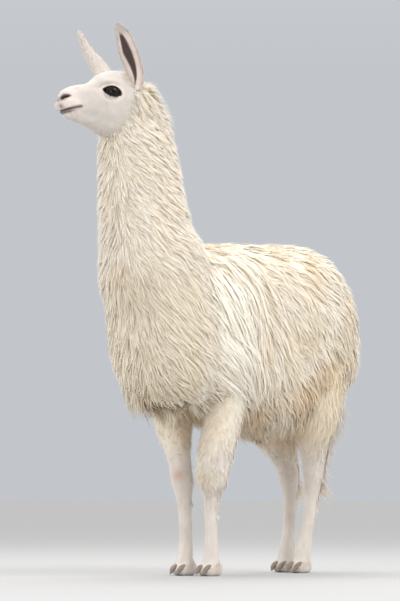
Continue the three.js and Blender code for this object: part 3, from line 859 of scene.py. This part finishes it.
def clumps(name, part, flow, style, seed, **limits):
    # Locks in clumps: each clump is walked once, and its strands start round its root and draw together at
    # the tip, waving as they go.
    source = np.random.default_rng(seed)
    limits = {**everywhere, **limits}
    angle, t = scatter(part, style["count"], seed, limits["tRange"], limits["angles"], limits["thin"])
    root = onLimb(part, angle, t, -part["depth"](angle, np.clip(t, 0, 1)))
    keep = limits["where"](root)
    for other in limits["keepOut"]:
        keep = keep & (howFar(body[other], root, coatWork["inset"]) >= 1)
    angle, t, root = angle[keep], t[keep], root[keep]
    count, strands, steps = len(root), style["strands"], style["steps"]
    normal = slopes(part, angle, t, 0.0)[2]
    length, loose = (v(root, normal) if callable(v) else v for v in (style["length"], style["loose"]))
    length = length * source.uniform(*coatWork["lengths"], count)
    long = length[:, None, None]
    swerve = source.normal(0, style["stray"], count)

    def bentFlow(p, n):
        # the flow turned about the normal by slow waves and by the clump's own swerve
        way = flow(p, n)
        way = unit(way - dot(way, n) * n)
        turn = swerve + style["sway"] * ripple(p, 0.13, 11) + 0.6 * style["sway"] * ripple(p, 0.05, 12)
        return way * np.cos(turn)[:, None] + np.cross(n, way) * np.sin(turn)[:, None]

    loose = np.clip(loose + source.normal(0, 0.05, count), 0, 1)
    height = style["proud"] * source.normal(0.0, 1.0, count) - style["tuck"]
    spine, normals = walk(part, angle, t, bentFlow, length, height, loose, limits["sink"], style)
    s = np.linspace(0, 1, steps + 1)[None, :, None]
    spine = spine + normals * long * style["rise"] * s ** 1.4
    along = unit(np.gradient(spine, axis=1))
    across = unit(np.cross(along, normals))
    phase = source.uniform(0, 2 * np.pi, (count, 1, 1))
    turns = source.uniform(0.5, 1.1, (count, 1, 1)) * style["waves"]
    swing = style["curl"] * long * s * source.uniform(0.3, 1.5, (count, 1, 1))
    spine = spine + across * swing * np.sin(phase + 2 * np.pi * turns * s)
    spine = spine + normals * swing * 0.35 * np.cos(phase + 2 * np.pi * turns * s)
    # the strands of each clump, cut to their own lengths
    shape, s, long = (count, strands, 1, 1), s[:, None], long[..., None]
    across, up = across[:, None], normals[:, None]
    ring = source.uniform(0, 2 * np.pi, shape)
    far = style["spread"] * np.sqrt(source.uniform(0.02, 1, shape))
    gather = 1 - style["gather"] * source.uniform(0.3, 1.3, (count, 1, 1, 1)) * s
    offset = across * np.cos(ring) * far * gather + up * np.sin(ring) * far * coatWork["flat"] * gather
    offset = offset + along[:, None, :1] * source.uniform(-1, 1, shape) * style["spread"] * 1.5
    cut = source.uniform(*coatWork["cuts"], (count, strands))
    place = np.linspace(0, 1, steps + 1)[None, None] * cut[..., None] * steps
    first = np.minimum(place.astype(int), steps - 1)
    w = (place - first)[..., None]
    rows = np.arange(count)[:, None, None]
    strand = spine[rows, first] * (1 - w) + spine[rows, first + 1] * w + offset
    strand = strand + source.normal(0, style["fuzz"], shape) * long * s * across
    strand = strand + np.abs(source.normal(0, style["lift"], shape)) * long * s ** 2 * up
    ups = up + across * source.normal(0, 0.1, shape)
    seen = spine[:, round(0.65 * steps)]  # where most of the lock is seen
    tint = blend(limits["tint"](seen, coatTint(seen)), "sand", style["golden"] * source.random(count) ** 2)
    tint = blend(tint * coatWork["wash"], "dust", style["dusty"] * source.random(count) ** 6)
    tint = tint[:, None] * (1 + source.normal(0, coatWork["speckle"], (count, strands, 1)))
    uv = np.stack([angle / (2 * np.pi), t], -1)[:, None] + source.uniform(-0.004, 0.004, (count, strands, 2))
    wide = style["width"] * source.uniform(*coatWork["widths"], (count, strands))
    soft = np.broadcast_to((style["soft"] * (1 - np.clip(1.6 * loose, 0, 1)))[:, None], (count, strands))
    values = (v.reshape((count * strands,) + v.shape[2:]) for v in (strand, ups, wide, uv, tint, soft))
    piece = blades(name, *values)
    print("stage: coat", name, count * strands, "strands", len(piece.data.polygons), "faces")


def towardElbow(p, place):
    # the way from each point to a place behind the elbow on its own side
    place = np.broadcast_to(place, p.shape).copy()
    place[..., 1] *= np.sign(p[..., 1] + 1e-6)
    return unit(place - p)


def coatFlow(p, n):
    # Down everywhere, and round the body towards its back: the share of that is most on the neck and flanks
    # and nothing at the midlines. Over each shoulder the coat is drawn towards a place behind the elbow.
    x, y, z = np.split(p, 3, axis=-1)
    nx, ny = n[..., :1], n[..., 1:2]
    flat = unit(np.concatenate([-ny, nx, 0 * nx], -1) + 1e-9)
    share = 0.85 + 0.25 * ease(z, 0.95, 1.15) - 0.6 * fade(x, -0.36, -0.2) * fade(z, 0.75, 0.95)
    share = share - 0.5 * fade(z, 0.5, 0.62)
    way = unit(flat * share * np.clip(ny / 0.65, -1, 1) + [0, 0, -1])
    sweep = np.exp(-((x - 0.36) / 0.15) ** 2 - ((z - 0.76) / 0.17) ** 2) * ease(np.abs(y), 0.07, 0.15)
    return way + (towardElbow(p, (0.15, 0.25, 0.48)) - way) * sweep


def trunkSink(p):
    # the coat lies lower along the crease and a little lower over the thigh
    thigh = fade(p[..., 0], -0.2, -0.08) * fade(p[..., 2], 0.6, 0.8)
    return creaseFall(p, 0.03) + 0.012 * thigh + rumpFall(p)


def trunkLength(p, n):
    # longest on the flanks, shorter on the back, the belly and the thighs
    thigh = fade(p[..., 0], -0.26, -0.14) * fade(p[..., 2], 0.68, 0.82)
    return 0.118 - 0.045 * ease(n[..., 2], 0.3, 0.95) - 0.03 * fade(p[..., 2], 0.5, 0.62) - 0.055 * thigh


# The base of every style. In metres: length of a lock, spread of a clump, width of a strand, proud and tuck,
# how unevenly and how low it ends, and dip, how deep it starts. Angles: stray and sway. The rest are shares:
# loose hangs free, gather draws together, curl, fuzz, lift and rise bend, golden and dusty tint, soft
# shades the lock as the coat's surface.
wool = {
    "count": 750, "strands": 9, "steps": 3, "length": 0.05, "stray": 0.14, "sway": 0.2, "proud": 0.0012,
    "tuck": 0.0, "loose": 0.02, "waves": 0.8, "curl": 0.05, "spread": 0.014, "gather": 0.45, "fuzz": 0.06,
    "lift": 0.03, "rise": 0.0, "width": 0.0042, "dip": 0.003, "golden": 0.25, "dusty": 0.3, "soft": 1.2,
}
trunkStyle = {
    **wool, "count": 780, "length": trunkLength, "stray": 0.2, "sway": 0.24, "proud": 0.0015, "tuck": 0.005,
    "loose": lambda p, n: 0.04 + 0.55 * fade(n[..., 2], -0.8, -0.1), "waves": 1.2, "curl": 0.07,
    "spread": 0.017, "fuzz": 0.07, "width": 0.0046, "golden": 0.3,
}
notTrunk, notColumn = ([other for other in body if other != name] for name in ("trunk", "column"))
for number, (name, tRange, angles) in enumerate((
    ("leftFore", (0.46, 1.3), (-0.5, 0.5)), ("rightFore", (0.46, 1.3), (0.5, 1.5)),
    ("leftRear", (-0.93, 0.46), (-0.5, 0.5)), ("rightRear", (-0.93, 0.46), (0.5, 1.5)),
)):
    clumps("coat.trunk." + name, body["trunk"], coatFlow, trunkStyle, 100 + number, keepOut=notTrunk,
           tRange=tRange, angles=angles, sink=trunkSink)


def columnLength(p, n):
    # longer down the neck, and at the chest a fringe on the right and short wool on the left
    x, y, z = xyz(p)
    fringe = fade(z, 0.62, 0.72) * ease(x, 0.3, 0.42)
    right = fade(y, -0.12, -0.02)
    return 0.05 + 0.07 * fade(z, 0.8, 1.35) + fringe * (0.035 * right - 0.055 * (1 - right))


def columnLoose(p, n):
    # loosest where the coat faces down
    return 0.03 + 0.8 * fade(n[..., 2], -0.8, -0.2) * (0.7 + 0.3 * fade(p[..., 1], -0.1, 0.02))


columnStyle = {**wool, "length": columnLength, "loose": columnLoose}
neckStyle = {**columnStyle, "count": 1150, "width": 0.0028}
for number, (name, style, tRange, angles) in enumerate((
    ("chest.front", columnStyle, (-0.93, 0.42), (-1, 0)), ("chest.back", columnStyle, (-0.93, 0.42), (0, 1)),
    ("neck.front", neckStyle, (0.42, 1.75), (-1, 0)), ("neck.back", neckStyle, (0.42, 1.85), (0, 1)),
)):
    clumps("coat." + name, body["column"], coatFlow, style, 200 + number, keepOut=notColumn, tRange=tRange,
           angles=angles)

# the longest locks lie over the shoulder and come together behind each elbow
sweepStyle = {**columnStyle, "count": 150, "steps": 4, "length": 0.2, "stray": 0.05, "sway": 0.08,
              "proud": 0.0015, "tuck": -0.0065, "gather": 0.5, "width": 0.0036, "golden": 0.05, "dusty": 0.0}


def sweepEdge(p):
    # how far back the sweep begins: a ragged line that slants forward as it comes down
    return 0.2 + 0.18 * (1 - p[:, 2]) + 0.05 * ripple(p, 0.06, 21)


def sweepTint(p, tint):
    # whitest in front, brightened past white as painted light against the shade the sweep lies in, and like
    # the rest of the coat at the ragged edge behind
    return blend(tint, tones["white"] * 1.16, 0.35 + 0.6 * ease(p[:, 0] - sweepEdge(p), 0.0, 0.08))


def elbowFlow(p, n):
    # mostly towards the elbow, and the rest with the coat
    return towardElbow(p, (0.22, 0.25, 0.58)) * 0.7 + unit(coatFlow(p, n)) * 0.3


for name, seed, angles in (("left", 231, (-0.15, 0.36)), ("right", 229, (0.64, 1.15))):
    clumps("coat.elbow." + name, body["trunk"], elbowFlow, sweepStyle, seed, tRange=(0.64, 1.0),
           angles=angles, tint=sweepTint, where=lambda p: (p[:, 2] > 0.68) & (p[:, 0] > sweepEdge(p)))

# a ragged fringe hangs in front of the right arm
fringeStyle = {**columnStyle, "count": 120, "length": 0.13, "stray": 0.2, "tuck": -0.002,
               "loose": lambda p, n: 0.5 + 0.4 * fade(n[..., 2], -0.6, 0.0), "gather": 0.8, "width": 0.0034}
clumps("coat.chest.fringe", body["column"], coatFlow, fringeStyle, 250, tRange=(-0.75, 0.1),
       angles=(0.95, 1.45))


def steady(x, y, z):
    # the same way everywhere
    return lambda p, n: np.array([x, y, z]) + 0 * p


def kneeWool(p, tall):
    # the wool round the left knee: a bell curve in space
    return bell(p - [0.28, 0.07, 0.37], [0.09, 0.06, tall]).prod(-1)


def legLength(p, n):
    # short on the arms, wool on the left knee, longer on the thighs, and a feather down the back to the hock
    x, y, z = xyz(p)
    hind, back = fade(x, -0.1, 0.0), -n[..., 0]
    rear = ease(back, 0.2, 0.8) * ease(z, 0.2, 0.34)
    hock = bell(z - 0.33, 0.05) * ease(back, 0.4, 0.9) * ease(y, 0.0, 0.02)
    wooled = 0.016 + 0.016 * kneeWool(p, 0.1) + 0.03 * hind * ease(z, 0.36, 0.52)
    return wooled + rear * (0.012 + hind * 0.025) + 0.045 * hind * hock


def legLoose(p, n):
    # loose down the back of the leg
    return 0.02 + 0.22 * fade(n[..., 0], -0.9, -0.3) * ease(p[..., 2], 0.16, 0.34)


def legThin(p, angle, t):
    # thick wool above, hardly any on the shins but down their backs
    x, y, z = xyz(p)
    back, hind = ease(-np.sin(angle), -0.3, 0.6), fade(x, -0.1, 0.0)
    above = 0.001 + ease(z, 0.36 - 0.08 * hind, 0.5 - 0.1 * hind)
    return above + 0.7 * back * ease(z, 0.14, 0.3) + 1.2 * kneeWool(p, 0.09)


legStyle = {
    **wool, "count": 900, "strands": 4, "steps": 2, "length": legLength, "proud": 0.0008, "loose": legLoose,
    "waves": 0.3, "curl": 0.03, "spread": 0.006, "gather": 0.3, "fuzz": 0.05, "lift": 0.02, "width": 0.0019,
    "dip": 0.002, "golden": 0.1, "dusty": 0.1,
}
legFlow = steady(-0.12, 0, -1.0)
for number, name in enumerate(feet):
    style = {**legStyle, "count": 1500} if name == "legFrontLeft" else legStyle
    clumps("coat." + name, body[name], legFlow, style, 300 + number, tRange=(0.05, 1.1), thin=legThin,
           where=lambda p: p[:, 2] > 0.03, keepOut=("trunk", "column", "tail", "head"))

# a shaggy fringe behind each hind leg, longest at the hock
featherStyle = {
    **legStyle, "count": 260, "strands": 5, "steps": 3, "stray": 0.3, "spread": 0.009, "fuzz": 0.12,
    "lift": 0.3, "rise": 0.3, "width": 0.002, "dip": 0.003,
    "length": lambda p, n: 0.045 + 0.02 * ease(p[..., 2], 0.4, 0.5),
}
hockStyle = {**featherStyle, "count": 420, "length": 0.062, "rise": 0.5, "gather": 0.8}
# the fringes' tint is brightened past white: painted light against the shade behind the hind legs
for number, side in enumerate(("Left", "Right")):
    for name, style, seed, angles, low, high in (("feather", featherStyle, 320, (1.2, 1.75), 0.34, 0.64),
                                                 ("hock", hockStyle, 324, (1.3, 1.7), 0.295, 0.35)):
        clumps(f"coat.{name}.{side.lower()}", body["legHind" + side], legFlow, style, seed + number,
               tRange=(0.05, 1.0), angles=angles, where=lambda p: (p[:, 2] > low) & (p[:, 2] < high),
               tint=lambda p, tint: blend(tint, tones["white"] * 1.15, 0.7 + 0 * p[:, 0]))

toeStyle = {**legStyle, "count": 80, "strands": 3, "length": 0.013, "spread": 0.003, "width": 0.0013,
            "dip": 0.001, "lift": 0.03}
for number, (name, part) in enumerate(toes.items()):
    clumps("coat.toe." + name[3:], part, steady(0.8, 0, -0.6), toeStyle, 340 + number, tRange=(0.2, 1.2),
           angles=(0.05, 0.95))

tailStyle = {
    **wool, "count": 280, "steps": 4, "length": 0.11, "stray": 0.15, "proud": 0.004, "loose": 0.2,
    "waves": 1.0, "spread": 0.012, "gather": 0.6, "fuzz": 0.08, "lift": 0.05, "width": 0.0045,
    "golden": 0.6, "dusty": 0.5,
}
clumps("coat.tail", body["tail"], legFlow, tailStyle, 400, keepOut=["trunk"], tRange=(0.0, 1.6))


def faceFlow(p, n):
    # from the nose back over the face, and down the cheeks
    return -headWay + 0 * p + np.array([0, 0, -0.35]) * fade(n[..., 2:3], -0.6, 0.3)


def faceLength(p, n):
    # longer towards the neck and under the jaw
    return 0.007 + 0.02 * fade(toHead(p)[..., 0], -0.05, 0.05) + 0.007 * ease(-n[..., 2], 0.2, 0.8)


def faceKeep(p):
    # not on the nose, and not inside an oval round either eye
    local = toHead(p)
    keep = local[:, 0] < 0.215
    for name, side in bothSides:
        ahead, up, gaze = eyeWays(side)
        off = local - eye["place"] * [1, side, 1]
        keep = keep & (((off @ ahead) / 0.036) ** 2 + ((off @ up) / 0.026) ** 2 > 1)
    return keep


def faceThin(p, angle, t):
    # a few on the cheeks and brow, most along the jaw and towards the neck
    x, y, z = xyz(toHead(p))
    return 0.002 + 1.6 * fade(x, -0.02, 0.05) + 0.5 * fade(z, -0.1, -0.07)


def faceTone(p, tint):
    # the coat's own tint at the neck, and in front the face's tone brightened as painted light, against the
    # shade the tufts throw on each other
    return blend(tint, tones["face"] * 1.45, 0.8 * ease(toHead(p)[..., 0], -0.09, -0.02))


def faceSink(p):
    # raised a little on the brow, between the ears
    x, y, z = xyz(toHead(p))
    return -0.007 * ease(z, 0.06, 0.09) * fade(x, 0, 0.04)


faceStyle = {
    **legStyle, "count": 2400, "strands": 3, "length": faceLength, "stray": 0.2, "sway": 0.15,
    "proud": 0.0004, "loose": lambda p, n: 0.02 + 0.3 * fade(n[..., 2], -0.8, -0.2), "curl": 0.02,
    "spread": 0.004, "lift": 0.03, "width": 0.0011, "dusty": 0.03, "soft": 0.9,
}
clumps("coat.head", body["head"], faceFlow, faceStyle, 500, tRange=(-0.3, 0.93), where=faceKeep,
       thin=faceThin, tint=faceTone, sink=faceSink)

earStyle = {
    **faceStyle, "count": 750, "length": 0.014, "sway": 0.1, "proud": 0.0006, "loose": 0.02, "curl": 0.03,
    "spread": 0.003, "fuzz": 0.1, "lift": 0.1, "golden": 0.0, "dusty": 0.05, "dip": 0.0005,
}


def earThin(p, angle, t):
    # hardly any in the hollow, most along the two edges
    s, c = np.sin(angle), np.abs(np.cos(angle))
    return np.where(s < 0, 1.5 * ease(c, 0.8, 0.98), 0.35 + 1.9 * ease(c, 0.75, 1.0))


# the ears' tufts are brightened a little more: painted light against their own shade
for side, part in ears.items():
    tip = onLimb(part, 0.0, 1.9)
    clumps("coat.ear." + side, part, lambda p, n: tip - p, earStyle, 520 + len(side), thin=earThin,
           tRange=(0.0, 1.6), tint=lambda p, tint: faceTone(p, tint) * 1.15)

# a few long hairs that stand off the coat everywhere, most at the nape
strayStyle = {
    **wool, "count": 1000, "strands": 2, "length": lambda p, n: 0.05 + 0.03 * fade(p[..., 2], 0.8, 1.2),
    "stray": 0.4, "sway": 0.3, "proud": 0.002, "loose": 0.0, "spread": 0.01, "gather": 0.1, "fuzz": 0.1,
    "lift": 0.07, "width": 0.0016, "golden": 0.3, "soft": 0.0,
}
clumps("coat.strayTrunk", body["trunk"], coatFlow, strayStyle, 600, keepOut=notTrunk, tRange=(-0.9, 1.2))
clumps("coat.strayNeck", body["column"], coatFlow, strayStyle, 601, keepOut=notColumn, tRange=(-0.5, 1.2))

napeStyle = {**strayStyle, "count": 130, "strands": 8, "length": 0.046, "stray": 0.25, "gather": 0.75,
             "spread": 0.009, "lift": 0.08, "rise": 0.42, "width": 0.0014, "dusty": 0.0}
clumps("coat.nape", body["column"], coatFlow, napeStyle, 610, tRange=(0.88, 1.6), angles=(0.08, 0.85))


def setSockets(node, values):
    # each socket's own value, by its name
    for key, value in values.items():
        node.inputs[key].default_value = value


def newMaterial(name, values):
    # one shader with the values on its sockets
    material = bpy.data.materials.new(name)
    material.use_nodes = True
    shader = material.node_tree.nodes["Principled BSDF"]
    setSockets(shader, values)
    return material, material.node_tree.nodes, material.node_tree.links, shader


def noise(nodes, links, scale, detail, stretch=(1, 1, 1), turn=0.0, layer=None):
    # noise by place on the object, or on the named map, stretched along the axes and turned about z
    source = nodes.new("ShaderNodeUVMap" if layer else "ShaderNodeTexCoord")
    if layer:
        source.uv_map = layer
    mapping, texture = nodes.new("ShaderNodeMapping"), nodes.new("ShaderNodeTexNoise")
    setSockets(mapping, {"Scale": stretch, "Rotation": (0, 0, turn)})
    setSockets(texture, {"Scale": scale, "Detail": detail, "Roughness": 0.6})
    links.new(source.outputs["UV" if layer else "Object"], mapping.inputs["Vector"])
    links.new(mapping.outputs["Vector"], texture.inputs["Vector"])
    return texture.outputs["Fac"]


def finish(name, values, shade, grain, bump=None, patches=None):
    # The piece's own tint, made darker and lighter by a noise between the two limits of shade, and a bump
    # from the grain, by distance and strength. Patches shade the tint where the grain doesn't.
    material, nodes, links, shader = newMaterial(name, values)
    fine = noise(nodes, links, **grain)
    tint = nodes.new("ShaderNodeAttribute")
    tint.attribute_name = "tint"
    share = nodes.new("ShaderNodeMapRange")
    setSockets(share, {"From Min": 0.3, "From Max": 0.7, "To Min": shade[0], "To Max": shade[1]})
    links.new(noise(nodes, links, **patches) if patches else fine, share.inputs["Value"])
    scaled = nodes.new("ShaderNodeVectorMath")
    scaled.operation = "SCALE"
    links.new(tint.outputs["Color"], scaled.inputs[0])
    links.new(share.outputs["Result"], scaled.inputs["Scale"])
    links.new(scaled.outputs["Vector"], shader.inputs["Base Color"])
    if bump:
        raised = nodes.new("ShaderNodeBump")
        setSockets(raised, {"Distance": bump[0], "Strength": bump[1]})
        links.new(fine, raised.inputs["Height"])
        links.new(raised.outputs["Normal"], shader.inputs["Normal"])
    return material


specular = "Specular IOR Level"
woolLocks = finish("woolLocks", {"Roughness": 0.82, "Sheen Weight": 0.3, specular: 0.2}, (0.93, 1.05),
                   {"scale": 3, "detail": 3, "stretch": (3, 0.9, 1), "layer": "hairLay"}, (0.0004, 0.35))
# short hair as streaks that run down the body, and along the face
hide = {"Roughness": 0.8, "Sheen Weight": 0.2, specular: 0.3}
hair, patches = {"scale": 420, "detail": 3}, {"scale": 40, "detail": 4}
underCoat = finish("hideUnderCoat", hide, (0.88, 1.06), {**hair, "stretch": (1, 1, 0.14)},
                   (0.001, 0.7), {**patches, "stretch": (1, 1, 0.4)})
faceHide = finish("hideFace", hide, (0.94, 1.06), {**hair, "stretch": (0.18, 1, 1), "turn": 0.42},
                  (0.001, 0.7), patches)
wetEye = finish("wetEye", {"Roughness": 0.1, specular: 0.18, "Coat Weight": 0.12, "Coat Roughness": 0.03},
                (0.8, 1.2), {"scale": 900, "detail": 3})
lidSkin = finish("lidSkin", {"Roughness": 0.38}, (0.8, 1.25), {"scale": 700, "detail": 3}, (0.0004, 0.6))
clawHorn = finish("clawHorn", {"Roughness": 0.5, specular: 0.4}, (0.7, 1.35),
                  {"scale": 160, "detail": 4, "stretch": (1, 0.4, 3)}, (0.0006, 0.7))
for group, material in (([skin], underCoat), ([skin], faceHide), (eyePieces, wetEye), (rimPieces, lidSkin),
                        (clawPieces, clawHorn), (coatPieces, woolLocks)):
    for piece in group:
        piece.data.materials.append(material)
# the skin's pieces were joined in order: the body's faces first, then those of the head and ears
faceMaterial = np.arange(len(skin.data.polygons)) >= len(bodyFaces)
skin.data.polygons.foreach_set("material_index", faceMaterial.astype(np.int32))
print("stage: materials")

# floor, light and camera
floorHalf = 60
corners = [(x * floorHalf, y * floorHalf, 0) for x, y in ((-1, -1), (1, -1), (1, 1), (-1, 1))]
mesh = bpy.data.meshes.new("floor")
mesh.from_pydata(corners, [], [(0, 1, 2, 3)])
floor = bpy.data.objects.new("floor", mesh)
bpy.context.collection.objects.link(floor)
paleFloor = {"Base Color": (0.46, 0.455, 0.45, 1), "Roughness": 0.7, specular: 0.2}
mesh.materials.append(newMaterial("paleFloor", paleFloor)[0])

world = bpy.data.worlds.new("studio")
bpy.context.scene.world = world
bpy.context.scene.view_settings.view_transform = "Standard"
world.use_nodes = True
nodes, links = world.node_tree.nodes, world.node_tree.links
# a dome that is brighter overhead than at the horizon
height = nodes.new("ShaderNodeSeparateXYZ")
links.new(nodes.new("ShaderNodeTexCoord").outputs["Generated"], height.inputs[0])
dome = nodes.new("ShaderNodeValToRGB")
domeColours = ((0.12, (0.54, 0.56, 0.59, 1)), (0.85, (1.36, 1.36, 1.36, 1)))
for element, (place, colour) in zip(dome.color_ramp.elements, domeColours):
    element.position, element.color = place, colour
links.new(height.outputs["Z"], dome.inputs["Fac"])
links.new(dome.outputs["Color"], nodes["Background"].inputs["Color"])
nodes["Background"].inputs["Strength"].default_value = 1.0


def pointed(holder, place, way):
    # at its place, with its own -z axis along the way
    holder.location = place
    holder.rotation_mode = "QUATERNION"
    holder.rotation_quaternion = Vector(way).to_track_quat("-Z", "Y")
    bpy.context.collection.objects.link(holder)


# each soft light's place, target, size and power
for name, place, target, size, power in (
    ("keyLight", (0.2, 4.8, 4.6), (0, 0, 0.9), 4.4, 190),
    ("sideLight", (2.4, -4.4, 2.6), (0.3, 0, 1.0), 3.0, 80),
    ("topLight", (-1.6, -1.2, 5.5), (0, 0, 0.9), 3.5, 110),
    ("frontLight", (5.4, 1.4, 1.5), (0.1, 0, 0.8), 3.0, 60),
):
    lamp = bpy.data.lights.new(name, "AREA")
    lamp.shape, lamp.size, lamp.energy = "DISK", size, power
    pointed(bpy.data.objects.new(name, lamp), place, Vector(target) - Vector(place))

# the camera's heading from the left side towards the front, and the picture's size and lens in its points
view = {"heading": math.radians(54), "distance": 12.0, "height": 0.3, "size": (400, 601), "focal": 3432,
        "pointsPerRadian": 3422, "middle": (243.9, 487.4), "sensor": 36}
c, s = math.cos(view["heading"]), math.sin(view["heading"])
wide, tall = view["size"]
scale = view["distance"] / view["pointsPerRadian"]
aim = np.array([-c, s, 0]) * (wide / 2 - view["middle"][0]) * scale
aim[2] = view["height"] + (view["middle"][1] - tall / 2) * scale
spot = np.array([s, c, 0]) * view["distance"] + [0, 0, view["height"]]
camera = bpy.data.objects.new("camera", bpy.data.cameras.new("camera"))
camera.data.sensor_width = view["sensor"]
camera.data.lens = view["focal"] * view["sensor"] / tall
camera.data.clip_end = 200
pointed(camera, spot + shift, aim - spot)
bpy.context.scene.camera = camera
print("stage: studio")

coatCount = sum(len(piece.data.polygons) for piece in coatPieces)
skinCount = sum(len(face.vertices) - 2 for face in skin.data.polygons)
print("stage: coat", coatCount, "triangles, skin", skinCount)
